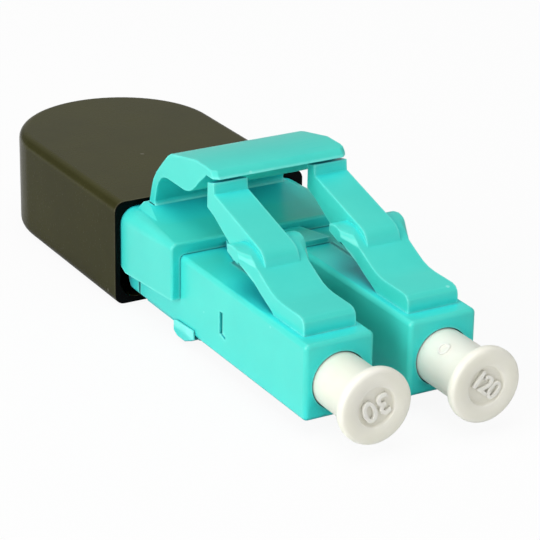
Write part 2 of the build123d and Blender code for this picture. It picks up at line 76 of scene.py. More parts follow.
def spot(x, back, rise):
    """A point across, behind the plug faces and over the plugs' tops, in metres."""
    return Vector((x * mm, (plug_faces + back) * mm, (plug_top + rise) * mm))


print("plug faces at", round(plug_faces, 2), "mm and their tops at", plug_top, "mm")

# %% [markdown]
# ## Camera
# The photograph was taken from the front left, a little above, with a long lens.
# A camera is placed by its distance and two angles, and then rolled by a degree, as a hand-held one is.
# Its axes are worked out from those angles, which is easier to correct than a rotation found by eye.

# %% Camera
azimuth, elevation, roll = radians(30.118), radians(22.765), radians(0.984)
distance, shift_left, shift_up = 132.4, 2.304, 1.83
sensor_width, focal_pixels, picture_pixels = 36, 2449, 540
away = Vector((-sin(azimuth) * cos(elevation), -cos(azimuth) * cos(elevation), sin(elevation)))
level = Vector((cos(azimuth), -sin(azimuth), 0))
upright = away.cross(level)
right = level * cos(roll) + upright * sin(roll)
up = upright * cos(roll) - level * sin(roll)
aim = Vector((0, -8.65, 3.35))
eye = aim + away * distance - right * shift_left + up * shift_up

lens = bpy.data.cameras.new("studio_camera")
lens.sensor_width = sensor_width
lens.lens = sensor_width * focal_pixels / picture_pixels
lens.clip_start = 0.005
lens.clip_end = 10
camera = bpy.data.objects.new("studio_camera", lens)
turned = Matrix((right, up, away)).transposed().to_4x4()
camera.matrix_world = Matrix.Translation(eye * mm) @ turned
bpy.context.scene.collection.objects.link(camera)
bpy.context.scene.camera = camera
print("camera at", [round(v, 1) for v in eye], "mm, lens", round(lens.lens, 1))

# %% [markdown]
# ## Floor
# The picture has a plain white ground.
# A floor that is only white plastic would need so much light that the object burns out.
# So the floor gives back its own white to the camera alone, and a part of its look stays lit,
# which keeps the soft shadow under the object.

# %% Floor
floor_half = 0.9
paper_white = 0.82
camera_share = 0.92

floor_mesh = bpy.data.meshes.new("studio_floor")
sheet = bmesh.new()
bmesh.ops.create_grid(sheet, x_segments=1, y_segments=1, size=floor_half)
sheet.to_mesh(floor_mesh)
sheet.free()
studio_floor = bpy.data.objects.new("studio_floor", floor_mesh)
bpy.context.scene.collection.objects.link(studio_floor)

floor_paper = bpy.data.materials.new("floor_paper")
floor_paper.use_nodes = True
tree = floor_paper.node_tree
tree.nodes.clear()
out = tree.nodes.new("ShaderNodeOutputMaterial")
paper = tree.nodes.new("ShaderNodeBsdfDiffuse")
paper.inputs["Color"].default_value = (paper_white, paper_white, paper_white, 1)
glow = tree.nodes.new("ShaderNodeEmission")
glow.inputs["Color"].default_value = (1, 1, 1, 1)
ray = tree.nodes.new("ShaderNodeLightPath")
share = tree.nodes.new("ShaderNodeMath")
share.operation = "MULTIPLY"
share.inputs[1].default_value = camera_share
both = tree.nodes.new("ShaderNodeMixShader")
tree.links.new(ray.outputs["Is Camera Ray"], share.inputs[0])
tree.links.new(share.outputs[0], both.inputs["Fac"])
tree.links.new(paper.outputs[0], both.inputs[1])
tree.links.new(glow.outputs[0], both.inputs[2])
tree.links.new(both.outputs[0], out.inputs["Surface"])
floor_mesh.materials.append(floor_paper)
print("floor:", floor_paper.name)

# %% [markdown]
# ## Light
# Small glossy things are photographed in a tent of white cloth: soft light from all round,
# and one large lamp over them.
# The world stands for the tent.
# Three area lamps give the tops their sheen and leave the faces turned from them darker.
# The level is plain, so that a colour renders about as it is written.

# %% World and lamps
tent_strength = 0.37
lamp_target = Vector((0, -0.004, 0.004))
softboxes = (
    ("overhead_softbox", (-0.06, -0.02, 0.34), 0.26, 0.50),
    ("left_softbox", (-0.32, -0.06, 0.14), 0.24, 0.88),
    ("front_softbox", (0.12, -0.34, 0.12), 0.20, 0.10),
)

world = bpy.data.worlds.new("light_tent")
bpy.context.scene.world = world
world.use_nodes = True
tree = world.node_tree
tree.nodes.clear()
out = tree.nodes.new("ShaderNodeOutputWorld")
tent = tree.nodes.new("ShaderNodeBackground")
tent.inputs["Color"].default_value = (1, 1, 1, 1)
tent.inputs["Strength"].default_value = tent_strength
seen = tree.nodes.new("ShaderNodeBackground")
seen.inputs["Color"].default_value = (1, 1, 1, 1)
seen.inputs["Strength"].default_value = 1
ray = tree.nodes.new("ShaderNodeLightPath")
both = tree.nodes.new("ShaderNodeMixShader")
tree.links.new(ray.outputs["Is Camera Ray"], both.inputs["Fac"])
tree.links.new(tent.outputs[0], both.inputs[1])
tree.links.new(seen.outputs[0], both.inputs[2])
tree.links.new(both.outputs[0], out.inputs["Surface"])


def softbox(name, place, size, power):
    """A square lamp that looks at the object."""
    light = bpy.data.lights.new(name, "AREA")
    light.size = size
    light.energy = power
    lamp = bpy.data.objects.new(name, light)
    lamp.location = place
    lamp.rotation_euler = (lamp_target - Vector(place)).to_track_quat("-Z", "Y").to_euler()
    bpy.context.scene.collection.objects.link(lamp)


for name, place, size, power in softboxes:
    softbox(name, place, size, power)
bpy.context.scene.view_settings.view_transform = "Standard"

# %% [markdown]
# ## Two finishes that the materials share, one of them with painted light
# Moulded plastic isn't perfect: the tool leaves a very fine grain, and the melt leaves broad clouds of colour.
# The edges are painted paler, partly as wear and partly as a painted highlight; wear also leaves fine scuffs, and
# dust drops a speck here and there.
# Two masks are for painted shade: one finds sheltered faces, and a harder one finds deep hollows,
# where the materials paint their colour bluer or darker.
# Each effect is a node group, built once.
# A group gives out masks and heights, and each material decides what to do with them.

# %% Shared finish groups
def finish_group(name, entries, exits):
    """An empty shader node group with these inputs and outputs."""
    group = bpy.data.node_groups.new(name, "ShaderNodeTree")
    for label, value in entries:
        group.interface.new_socket(label, in_out="INPUT", socket_type="NodeSocketFloat").default_value = value
    for label in exits:
        group.interface.new_socket(label, in_out="OUTPUT", socket_type="NodeSocketFloat")
    return group, group.nodes.new("NodeGroupInput"), group.nodes.new("NodeGroupOutput")


def add_node(tree, kind, links=(), **settings):
    """A node with its settings, and its inputs linked or set by name or number."""
    node = tree.nodes.new(kind)
    for key, value in settings.items():
        setattr(node, key, value)
    for socket, source in dict(links).items():
        if hasattr(source, "is_output"):
            tree.links.new(source, node.inputs[socket])
        else:
            node.inputs[socket].default_value = source
    return node


def millimetres(tree):
    """Object coordinates counted in millimetres."""
    place = add_node(tree, "ShaderNodeTexCoord").outputs["Object"]
    return add_node(tree, "ShaderNodeVectorMath", {0: place, "Scale": 1000}, operation="SCALE").outputs[0]


def ramp(tree, source, start, end, low=0.0, high=1.0):
    """A value that runs from low to high while the source runs from start to end."""
    links = {"Value": source, "From Min": start, "From Max": end, "To Min": low, "To Max": high}
    return add_node(tree, "ShaderNodeMapRange", links).outputs[0]


def noise(tree, place, scale, detail, **more):
    """A soft noise over a place."""
    links = {"Vector": place, "Scale": scale, "Detail": detail, **more}
    return add_node(tree, "ShaderNodeTexNoise", links).outputs[0]


def compute(tree, operation, *sources):
    """One step of arithmetic on sockets or plain numbers."""
    return add_node(tree, "ShaderNodeMath", dict(enumerate(sources)), operation=operation).outputs[0]


def openness(tree, reach, inside=False):
    """How free of other faces a point is within this reach, looking outwards or into the material."""
    free = add_node(tree, "ShaderNodeAmbientOcclusion", {"Distance": reach}, inside=inside, samples=6)
    return free.outputs["AO"]


mould_skin, entry, leave = finish_group(
    "mould_skin", (("Grain per mm", 7), ("Cloud per mm", 0.2)), ("Cloud", "Grain"))
place = millimetres(mould_skin)
cloud = noise(mould_skin, place, entry.outputs["Cloud per mm"], 3, Roughness=0.6)
skin_masks = {
    "Cloud": ramp(mould_skin, cloud, 0.3, 0.7),
    "Grain": noise(mould_skin, place, entry.outputs["Grain per mm"], 2),
}
for label, mask in skin_masks.items():
    mould_skin.links.new(mask, leave.inputs[label])

shelter_reach = 0.0026
patches_per_mm = 0.9
specks_per_mm = 0.42
scuff_turn, scuff_squeeze = (0.2, 0.3, 0.7), (0.35, 9, 6)
# The second group gives the masks for wear, dust and painted light: paler edges, scuffs, specks, and painted shade in
# sheltered faces and deep hollows.
wear_and_painted_light, entry, leave = finish_group(
    "wear_and_painted_light",
    (("Edge width", 0.0002), ("Speck size", 0.05)),
    ("Edge", "Hollow", "Shelter shade", "Scuff", "Speck"))
place = millimetres(wear_and_painted_light)
# Convex edges, in patches: the materials paint them paler, partly as wear and partly as a painted highlight.
rim = ramp(wear_and_painted_light, openness(wear_and_painted_light, entry.outputs["Edge width"], inside=True), 0.85, 0.45)
around = openness(wear_and_painted_light, shelter_reach)
worn = ramp(wear_and_painted_light, noise(wear_and_painted_light, place, patches_per_mm, 3), 0.3, 0.6, low=0.45)
links = {"Vector": place, "Rotation": scuff_turn, "Scale": scuff_squeeze}
stretch = add_node(wear_and_painted_light, "ShaderNodeMapping", links).outputs[0]
dot = add_node(wear_and_painted_light, "ShaderNodeTexVoronoi", {"Vector": place, "Scale": specks_per_mm}).outputs["Distance"]
handling_masks = {
    "Edge": compute(wear_and_painted_light, "MULTIPLY", rim, worn),
    # Painted shade: deep hollows.
    "Hollow": ramp(wear_and_painted_light, around, 0.62, 0.22),
    # Painted shade: faces sheltered by nearby parts.
    "Shelter shade": ramp(wear_and_painted_light, around, 0.98, 0.60),
    "Scuff": ramp(wear_and_painted_light, noise(wear_and_painted_light, stretch, 1, 4), 0.62, 0.72),
    "Speck": compute(wear_and_painted_light, "LESS_THAN", dot, entry.outputs["Speck size"]),
}
for label, mask in handling_masks.items():
    wear_and_painted_light.links.new(mask, leave.inputs[label])
print("finish groups:", mould_skin.name, wear_and_painted_light.name, "masks:", ", ".join([*skin_masks, *handling_masks]))

# %% [markdown]
# ## Moulded plastics
# The clip, the plugs and their latches are one aqua resin.
# It is satin, a little see-through at thin edges, and its edges are painted paler, partly as wear and partly as a
# painted highlight.
# Painted shade: sheltered tops and recessed fronts are painted a bluer tint, and deep hollows are painted dark.
# The shell is glossy and nearly black, with an olive tint.
# Its flanks and rounded edges are painted darker as shade and have less sheen, and the lip round its mouth is painted
# black as shade.
# The dust caps are a soft cream resin.
# One recipe makes all three, since they differ only in their colours, gloss and wear, and each keeps its own numbers.

# %% Plastic recipe
def screen(red, green, blue):
    """A colour read off a screen, 0 to 255, as the linear colour that a shader takes."""
    parts = (red, green, blue)
    return tuple(((v / 255 + 0.055) / 1.055) ** 2.4 if v > 10 else v / 3295 for v in parts) + (1,)


def blend_colour(tree, factor, first, second):
    """A mix of two colours, each a socket or a plain colour."""
    mix = add_node(tree, "ShaderNodeMix", data_type="RGBA")
    for socket, source in ((mix.inputs[0], factor), (mix.inputs[6], first), (mix.inputs[7], second)):
        if hasattr(source, "is_output"):
            tree.links.new(source, socket)
        else:
            socket.default_value = source
    return mix.outputs[2]


def amount(tree, source, low, high):
    """A mask stretched to run from low to high."""
    return ramp(tree, source, 0.0, 1.0, low, high)


def new_look(name):
    """A new material with its node tree and its shader."""
    look = bpy.data.materials.new(name)
    look.use_nodes = True
    return look, look.node_tree, look.node_tree.nodes["Principled BSDF"]


def finish_nodes(tree, group):
    """A shared finish group placed in a material."""
    return add_node(tree, "ShaderNodeGroup", node_tree=group)


def surface(tree, shader, matt, scuff, scuffed, height, relief):
    """Links a surface's roughness, rougher where it is scuffed, and its fine relief."""
    tree.links.new(compute(tree, "MULTIPLY_ADD", scuff, scuffed, matt), shader.inputs["Roughness"])
    bump = add_node(tree, "ShaderNodeBump", {"Height": height, "Strength": 1, "Distance": relief})
    tree.links.new(bump.outputs[0], shader.inputs["Normal"])


# The near-black that the shell's lip is painted as shade.
lip_shade_black = screen(7, 8, 8)
# recess_share is the share of bluer painted shade on sheltered fronts, and turned_share the share of painted shade on
# the shell's flanks; speck_share is for dust.
speck_share, recess_share, turned_share = 0.6, 0.6, 0.36
recess_shine, dull_shine = 0.1, 0.04
cloud_polish, cloud_dulling = 0.04, 0.05


def plastic(name, shade, deep, clear, edge, speck, gloss, hollow_shade_share=0.8, edge_share=0.5, grain=7,
            relief=0.0000012, depth=0.0, scatter=0.0003, scuffed=0.2, shine=0.5, shelter_shade_tint=None, hollow_shade_tint=None, mouth=False):
    """A moulded plastic: clouds between two colours, paler edges, specks, scuffs and a fine grain.

    shelter_shade_tint paints sheltered tops and recessed fronts a bluer shade; hollow_shade_tint paints shade into
    the hollows that don't face ahead, and the shade colour paints the other hollows.
    mouth paints shade on the shell's flanks and rounded edges, lowers the sheen there and on the lip, and paints the
    lip facing ahead black as shade.
    """
    look, tree, shader = new_look(name)
    skin = finish_nodes(tree, mould_skin)
    skin.inputs["Grain per mm"].default_value = grain
    wear_and_light_masks = finish_nodes(tree, wear_and_painted_light)
    body = blend_colour(tree, skin.outputs["Cloud"], deep, clear)
    facing = add_node(tree, "ShaderNodeSeparateXYZ", {0: add_node(tree, "ShaderNodeTexCoord").outputs["Normal"]})
    ahead = ramp(tree, facing.outputs["Y"], -0.3, -0.8)
    # The colour painted into hollows as shade.
    hollow_shade = shade
    shader.inputs["Specular IOR Level"].default_value = shine
    # Painted shade: sheltered upward faces and sheltered fronts are painted a bluer tint, and the fronts lose some
    # sheen.
    if shelter_shade_tint:
        upward = ramp(tree, facing.outputs["Z"], 0.75, 0.98, low=0.22, high=0.8)
        body = blend_colour(tree, compute(tree, "MULTIPLY", wear_and_light_masks.outputs["Shelter shade"], upward), body, shelter_shade_tint)
        recessed = compute(tree, "MULTIPLY", ahead, wear_and_light_masks.outputs["Shelter shade"])
        body = blend_colour(tree, amount(tree, recessed, 0, recess_share), body, shelter_shade_tint)
        tree.links.new(amount(tree, recessed, shine, recess_shine), shader.inputs["Specular IOR Level"])
    # Painted shade: hollows facing ahead take the shade colour, the others hollow_shade_tint.
    if hollow_shade_tint:
        hollow_shade = blend_colour(tree, ahead, hollow_shade_tint, shade)
    # Hollows are painted towards their shade colour.
    body = blend_colour(tree, amount(tree, wear_and_light_masks.outputs["Hollow"], 0, hollow_shade_share), body, hollow_shade)
    # Edges painted paler, partly as wear and partly as a painted highlight.
    body = blend_colour(tree, amount(tree, wear_and_light_masks.outputs["Edge"], 0, edge_share), body, edge)
    body = blend_colour(tree, amount(tree, wear_and_light_masks.outputs["Speck"], 0, speck_share), body, speck)
    # Painted shade: flanks and rounded edges are painted darker, the lip facing ahead is painted black, and both lose
    # sheen.
    if mouth:
        flank = ramp(tree, facing.outputs["Z"], 0.5, 0.0)
        rising = ramp(tree, facing.outputs["Z"], 0.05, 0.5)
        level = ramp(tree, facing.outputs["Z"], 0.98, 0.75)
        turned = compute(tree, "MAXIMUM", flank, compute(tree, "MULTIPLY", rising, level))
        body = blend_colour(tree, amount(tree, turned, 0, turned_share), body, shade)
        body = blend_colour(tree, ahead, body, lip_shade_black)
        dull = compute(tree, "MAXIMUM", ahead, turned)
        tree.links.new(amount(tree, dull, shine, dull_shine), shader.inputs["Specular IOR Level"])
    tree.links.new(body, shader.inputs["Base Color"])
    matt = amount(tree, skin.outputs["Cloud"], gloss - cloud_polish, gloss + cloud_dulling)
    surface(tree, shader, matt, wear_and_light_masks.outputs["Scuff"], scuffed, skin.outputs["Grain"], relief)
    shader.inputs["IOR"].default_value = 1.5
    shader.inputs["Subsurface Weight"].default_value = depth
    shader.inputs["Subsurface Radius"].default_value = (1, 1, 1)
    shader.inputs["Subsurface Scale"].default_value = scatter
    return look


# shade and hollow_shade_tint are painted shade for hollows, shelter_shade_tint is painted shade for sheltered faces,
# and edge is the paler edge colour of wear and painted highlight.
aqua_plastic = plastic(
    "aqua_plastic", shade=screen(0, 62, 76), deep=screen(64, 212, 199), clear=screen(74, 219, 204),
    edge=screen(156, 255, 246), speck=screen(150, 240, 230), shelter_shade_tint=screen(44, 238, 238), hollow_shade_tint=screen(0, 120, 150),
    gloss=0.33, hollow_shade_share=0.85, edge_share=0.55, depth=0.08, scuffed=0.12)
black_plastic = plastic(
    "black_plastic", shade=screen(14, 14, 8), deep=screen(57, 56, 25), clear=screen(64, 63, 30),
    edge=screen(128, 122, 104), speck=screen(110, 106, 92),
    gloss=0.22, edge_share=0.8, grain=4, relief=0.000004, scuffed=0.1, shine=0.15, mouth=True)
# The caps take a little painted shade in their hollows.
cap_plastic = plastic(
    "cap_plastic", shade=screen(196, 196, 194), deep=screen(237, 235, 218), clear=screen(241, 239, 229),
    edge=screen(255, 254, 248), speck=screen(205, 196, 180),
    gloss=0.42, hollow_shade_share=0.2, depth=0.35, scatter=0.0006)
print("plastics:", aqua_plastic.name, black_plastic.name, cap_plastic.name)

# %% [markdown]
# ## Ceramic, metal, rubber and fibre
# These show when a cap is drawn off or the shell is opened: a ground white ceramic ferrule, a turned metal holder,
# a drawn steel spring, a dull rubber sleeve and the fibre's extruded jacket.
# Turned and drawn parts carry fine lines round or along them, so their noise is squeezed in one direction.

# %% Inner materials
line_edge_share, line_scuffed, line_spread = 0.4, 0.12, 0.08


def lined(name, dark, light, gloss, metal, squeeze, relief, coat=0.0):
    """A material with fine lines made by its tool, squeezed along them."""
    look, tree, shader = new_look(name)
    wear_and_light_masks = finish_nodes(tree, wear_and_painted_light)
    along = add_node(tree, "ShaderNodeMapping", {"Vector": millimetres(tree), "Scale": squeeze}).outputs[0]
    lines = noise(tree, along, 1, 4, Roughness=0.6)
    tone = blend_colour(tree, lines, dark, light)
    # Edges painted towards the light tone, partly as wear and partly as a painted highlight.
    tone = blend_colour(tree, amount(tree, wear_and_light_masks.outputs["Edge"], 0, line_edge_share), tone, light)
    tree.links.new(tone, shader.inputs["Base Color"])
    matt = amount(tree, lines, gloss - line_spread, gloss + line_spread)
    surface(tree, shader, matt, wear_and_light_masks.outputs["Scuff"], line_scuffed, lines, relief)
    shader.inputs["Metallic"].default_value = metal
    shader.inputs["Coat Weight"].default_value = coat
    return look


white_ceramic = lined(
    "white_ceramic", screen(228, 228, 222), screen(244, 243, 238), gloss=0.22, metal=0,
    squeeze=(1, 12, 1), relief=0.0000004, coat=0.3)
holder_metal = lined(
    "holder_metal", screen(150, 140, 120), screen(202, 196, 180), gloss=0.30, metal=1,
    squeeze=(1, 18, 1), relief=0.0000008)
spring_steel = lined(
    "spring_steel", screen(118, 120, 122), screen(192, 194, 196), gloss=0.26, metal=1,
    squeeze=(6, 6, 6), relief=0.0000006)
dark_rubber = lined(
    "dark_rubber", screen(28, 28, 29), screen(46, 46, 47), gloss=0.66, metal=0,
    squeeze=(3, 3, 3), relief=0.000003)
fibre_jacket = lined(
    "fibre_jacket", screen(52, 190, 182), screen(86, 214, 204), gloss=0.40, metal=0,
    squeeze=(3, 0.4, 3), relief=0.0000015)
inner_looks = (white_ceramic, holder_metal, spring_steel, dark_rubber, fibre_jacket)
print("inner materials:", ", ".join(look.name for look in inner_looks))

# %% [markdown]
# ## Inner pieces keep their solids
# The ferrules, holders, rear bodies, sleeves and the fibre have the right shape in the solids already.
# Each only takes its material, so nothing about them can drift from the model that moves them.

# %% Materials for the carried-over nodes
inner_finish = {
    "ferrule": white_ceramic,
    "ferrule_holder": holder_metal,
    "rear_body": aqua_plastic,
    "strain_sleeve": dark_rubber,
}
carried = {kind + "_" + tag: look for kind, look in inner_finish.items() for side, tag in sides}
carried["fibre_loop"] = fibre_jacket
for node, look in carried.items():
    nodes[node].data.materials.clear()
    nodes[node].data.materials.append(look)
print("carried over:", len(carried))

# %% [markdown]
# ## Helpers for moulded pieces
# A solid from the model arrives as loose triangles with knife-sharp edges, and light never catches a knife edge.
# A copy is merged into whole faces, and a small bevel then gives every edge the soft round that a mould leaves.
# Finished meshes are settled, which means that their modifiers are applied, because a blended piece must be final.

# %% Shape helpers
weld = 0.000002
flat_weight = 60


def show(name, shape, look, body, replaced=()):
    """A new object from a bmesh, with its material and the body it rides on."""
    mesh = bpy.data.meshes.new(name)
    shape.normal_update()
    shape.to_mesh(mesh)
    shape.free()
    mesh.materials.append(look)
    piece = bpy.data.objects.new(name, mesh)
    bpy.context.scene.collection.objects.link(piece)
    if replaced:
        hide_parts(*replaced)
    if body:
        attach(piece, body)
    return piece


def whole(shape):
    """Every point, edge and face of a shape."""
    return shape.verts[:] + shape.edges[:] + shape.faces[:]


def welded(mesh):
    """A bmesh of a mesh, with the points that lie on each other joined."""
    shape = bmesh.new()
    shape.from_mesh(mesh)
    bmesh.ops.remove_doubles(shape, verts=shape.verts, dist=weld)
    return shape


def merged(node, flat=0.6):
    """A bmesh of a CAD node with triangles that lie within this many degrees joined into whole faces."""
    mesh = nodes[node].data.copy()
    if mesh.attributes.get("custom_normal"):
        mesh.attributes.remove(mesh.attributes["custom_normal"])
    shape = welded(mesh)
    bmesh.ops.dissolve_limit(shape, angle_limit=radians(flat), verts=shape.verts, edges=shape.edges)
    return shape


def smooth(piece):
    """Shades a piece's faces smoothly."""
    for face in piece.data.polygons:
        face.use_smooth = True


def final_mesh(thing):
    """An object's mesh with its modifiers applied, or a text's letters as a mesh."""
    bpy.context.view_layer.update()
    return bpy.data.meshes.new_from_object(thing.evaluated_get(bpy.context.evaluated_depsgraph_get()))


def soften(piece, width, segments=3, angle=32, solid=True):
    """Rounds every edge sharper than this angle by this many millimetres, and settles the mesh."""
    smooth(piece)
    round_off = piece.modifiers.new("mould_radius", "BEVEL")
    round_off.width = width * mm
    round_off.segments = segments
    round_off.limit_method = "ANGLE"
    round_off.angle_limit = radians(angle)
    round_off.use_clamp_overlap = True
    round_off.harden_normals = not solid
    if solid:
        piece.modifiers.new("flat_faces", "WEIGHTED_NORMAL").weight = flat_weight
    final = final_mesh(piece)
    piece.modifiers.clear()
    piece.data = final
    print(piece.name, "faces:", len(final.polygons))


# %% [markdown]
# ## Springs
# A coil spring shortens as its ferrule is pushed in, and a solid can't.
# Each spring is drawn from a copy of its solid, which rides on the module.

# %% Coil springs
for side, tag in sides:
    wire = welded(nodes["spring_" + tag].data)
    coil = show("coil_spring_" + tag, wire, spring_steel, "module", ["spring_" + tag])
    smooth(coil)
    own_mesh(coil)

# %% [markdown]
# ## Rear shell
# The shell is one deep box with a half-round rear, moulded in glossy black.
# Its merged solid has the large radii already, and only the edges of its open mouth need a small round.

# %% Rear shell
rear_shell = show("rear_shell", merged("rear_housing"), black_plastic, "module", ["rear_housing"])
soften(rear_shell, 0.06, segments=2, angle=40)

# %% [markdown]
# ## Clip cover and clip base
# The cover wraps the plugs' tops and sides, with a tongue ahead and a spigot inside the shell.
# The base is a tray under them with a lug at each front corner.
# Both are drawn from their merged solids,
# because their fits against the plugs matter more than anything a new mesh could add.
# The foot of the step that carries the trigger is spread sideways, so that its ends slope down to the roof.

# %% Clip cover and base
step_half = 4.475
step_top = 1.05
foot_spread = 1.08

cover = merged("clip_cover")
for vert in cover.verts:
    at_step_end = abs(abs(vert.co.x) - step_half * mm) < 0.001 * mm
    if at_step_end and vert.co.z < spot(0, 0, step_top - 0.1).z:
        vert.co.x *= foot_spread
cover_shell = show("cover_shell", cover, aqua_plastic, "module", ["clip_cover"])
soften(cover_shell, 0.07)
base_tray = show("base_tray", merged("clip_base"), aqua_plastic, "module", ["clip_base"])
soften(base_tray, 0.07)

# %% [markdown]
# ## Plug housings
# Each plug is a square tube with a round bore, a slot in its top and an L-shaped slit in each side.
# The latch grows out of its top, so the solid's sharp root block is cut off level with the top,
# and the latch below brings its own root.

# %% Plug housings
root_cut = spot(0, 0, -0.004)
for side, tag in sides:
    plug = merged("plug_housing_" + tag)
    cut = bmesh.ops.bisect_plane(plug, geom=whole(plug), plane_co=root_cut, plane_no=(0, 0, 1), clear_outer=True)
    rim = [e for e in cut["geom_cut"] if isinstance(e, bmesh.types.BMEdge) and e.is_boundary]
    bmesh.ops.holes_fill(plug, edges=rim)
    plug_shell = show("plug_shell_" + tag, plug, aqua_plastic, "module", ["plug_housing_" + tag])
    soften(plug_shell, 0.06, segments=2, angle=40)

# %% [markdown]
# ## Latches
# A latch is a springy arm that leaves the plug's top, rises in a ramp,
# carries two ears and ends in a tail under the trigger.
# Its side view is drawn once as five faces that share their edges:
# root, ears, and the arm over, behind and under them.
# Pulling all of them out gives the arm.
# Pulling the root and ears further gives the plate, and the ears alone the full width.
# That is how a toolmaker cuts it, and it keeps one closed skin with no pieces pushed into each other.
# The ears' outer ends are drawn back at the front, so that they taper to a rounded tip.

# %% Latch outline
outline = {
    "r0": (1.05, -0.14), "r1": (1.05, 0.46), "r2": (1.11, 0.70), "r3": (1.29, 0.89), "r4": (1.60, 0.97),
    "r5": (3.30, 0.97), "r6": (3.85, 1.02), "r7": (4.40, 1.16), "r8": (4.95, 1.40), "r9": (5.50, 1.67),
    "u0": (4.02, -0.14), "u1": (4.45, 0.14), "u2": (4.95, 0.37), "u3": (5.60, 0.67), "u4": (6.25, 1.00),
    "e0": (5.90, 1.87), "e1": (6.20, 2.15), "e2": (6.58, 2.42), "e3": (7.05, 2.60), "e4": (7.75, 2.67),
    "e5": (8.28, 2.58), "e6": (8.28, 2.16), "e7": (7.75, 1.99), "e8": (7.10, 1.80), "e9": (6.52, 1.46),
    "a1": (6.02, 2.16), "a2": (6.18, 2.42), "a3": (6.44, 2.64), "a4": (6.90, 2.80), "a5": (7.55, 2.96),
    "a6": (8.40, 3.19), "a7": (11.56, 4.05), "t0": (11.63, 4.66), "t1": (12.32, 4.50), "t2": (12.34, 3.07),
    "l0": (11.60, 2.80), "l1": (9.86, 1.87), "l2": (8.60, 1.63), "l3": (7.55, 1.46), "l4": (6.90, 1.22),
}
regions = {
    "root": "r0 r1 r2 r3 r4 r5 r6 r7 r8 r9 e0 u4 u3 u2 u1 u0",
    "ears": "e0 e1 e2 e3 e4 e5 e6 e7 e8 e9 u4",
    "over": "e0 a1 a2 a3 a4 a5 a6 e5 e4 e3 e2 e1",
    "behind": "a6 a7 t0 t1 t2 l0 l1 l2 e6 e5",
    "under": "e6 l2 l3 l4 u4 e9 e8 e7",
}
ear_front = {
    "e0": (7.08, 2.20), "e1": (7.14, 2.38), "e2": (7.26, 2.53), "e3": (7.46, 2.62),
    "e8": (7.44, 1.90), "e9": (7.18, 1.88), "u4": (7.08, 2.00),
}
arm_half, plate_step, ear_step = 1.05, 0.50, 0.50
ear_half = arm_half + plate_step + ear_step
middle_weld = 0.000005
print("latch outline points:", len(outline), "regions:", len(regions))


# %% Latch skins
def pull(shape, faces, step, keep=False):
    """Extrudes these faces across the module and gives back the moved ones."""
    grown = bmesh.ops.extrude_face_region(shape, geom=faces)["geom"]
    if not keep:
        bmesh.ops.delete(shape, geom=[f for f in faces if f.is_valid], context="FACES")
    moved = [v for v in grown if isinstance(v, bmesh.types.BMVert)]
    bmesh.ops.translate(shape, verts=moved, vec=(step * mm, 0, 0))
    return [f for f in grown if isinstance(f, bmesh.types.BMFace)]


def latch_half():
    """Right half of a latch, from its middle plane to its outer edges."""
    shape = bmesh.new()
    corner = {name: shape.verts.new(spot(0, *place)) for name, place in outline.items()}
    mark = shape.faces.layers.int.new("region")
    for number, names in enumerate(regions.values()):
        shape.faces.new([corner[n] for n in names.split()])[mark] = number
    root, ears = (list(regions).index(name) for name in ("root", "ears"))
    grown = pull(shape, shape.faces[:], arm_half)
    grown = pull(shape, [f for f in grown if f[mark] in (root, ears)], plate_step)
    grown = pull(shape, [f for f in grown if f[mark] == ears], ear_step)
    rim = {v for f in grown for v in f.verts}
    for name, place in ear_front.items():
        old = spot(ear_half, *outline[name])
        for vert in rim:
            if (vert.co - old).length < 10 * weld:
                vert.co = spot(ear_half, *place)
    return shape


for side, tag in sides:
    shape = latch_half()
    bmesh.ops.mirror(shape, geom=whole(shape), matrix=Matrix.Identity(4), merge_dist=middle_weld, axis="X")
    bmesh.ops.translate(shape, verts=shape.verts, vec=(side * pitch / 2 * mm, 0, 0))
    bmesh.ops.recalc_face_normals(shape, faces=shape.faces)
    open_edges = sum(1 for e in shape.edges if not e.is_manifold)
    latch_skin = show("latch_skin_" + tag, shape, aqua_plastic, None, ["latch_" + tag])
    soften(latch_skin, 0.11, segments=4, angle=28, solid=False)
    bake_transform(latch_skin)
    print(latch_skin.name, "open edges:", open_edges)

# %% [markdown]
# ## Trigger
# The trigger stands on a thin leg that flexes, and its lip reaches over both latch tails,
# so that one press frees both plugs.
# It is one section pulled across the whole width, and its underside dips in a wave between the lip and the leg.
# The lip's outer corners are then set back in plan, because a thumb slides off there.

# %% Trigger section
section = (
    (19.26, 1.02), (19.17, 1.12), (19.11, 1.30), (18.86, 2.15), (18.68, 2.60), (18.33, 3.12), (17.60, 3.88),
    (16.95, 4.50), (16.60, 4.72), (16.20, 4.83), (13.70, 5.33), (12.24, 5.33), (11.86, 5.26), (11.60, 5.06),
    (11.48, 4.83), (12.50, 4.83), (12.72, 4.62), (13.04, 4.36), (13.38, 4.08), (13.72, 3.74), (14.06, 3.46),
    (14.35, 3.29), (14.65, 3.19), (15.00, 3.13), (17.00, 3.13), (17.45, 3.05), (17.80, 2.84), (18.08, 2.52),
    (18.22, 2.26), (18.50, 1.30), (18.45, 1.13), (18.36, 1.02),
)
trigger_half = 4.175
end_band = 0.32
lip_corner = {(12.24, 5.33): 0.10, (11.86, 5.26): 0.18, (11.60, 5.06): 0.27, (11.48, 4.83): 0.30}


def trigger_shape():
    """The trigger's section pulled from one side to the other, with the lip's ends set back."""
    shape = bmesh.new()
    face = shape.faces.new([shape.verts.new(spot(-trigger_half, *place)) for place in section])
    for step, first in ((end_band, True), (2 * trigger_half - 2 * end_band, False), (end_band, False)):
        face = pull(shape, [face], step, keep=first)[0]
    ends = [v for v in shape.verts if abs(v.co.x) > (trigger_half - end_band / 2) * mm]
    for corner, setback in lip_corner.items():
        point = spot(0, *corner)
        for vert in ends:
            if (vert.co - point).yz.length < weld / 10:
                vert.co.y += setback * mm
    bmesh.ops.recalc_face_normals(shape, faces=shape.faces)
    return shape


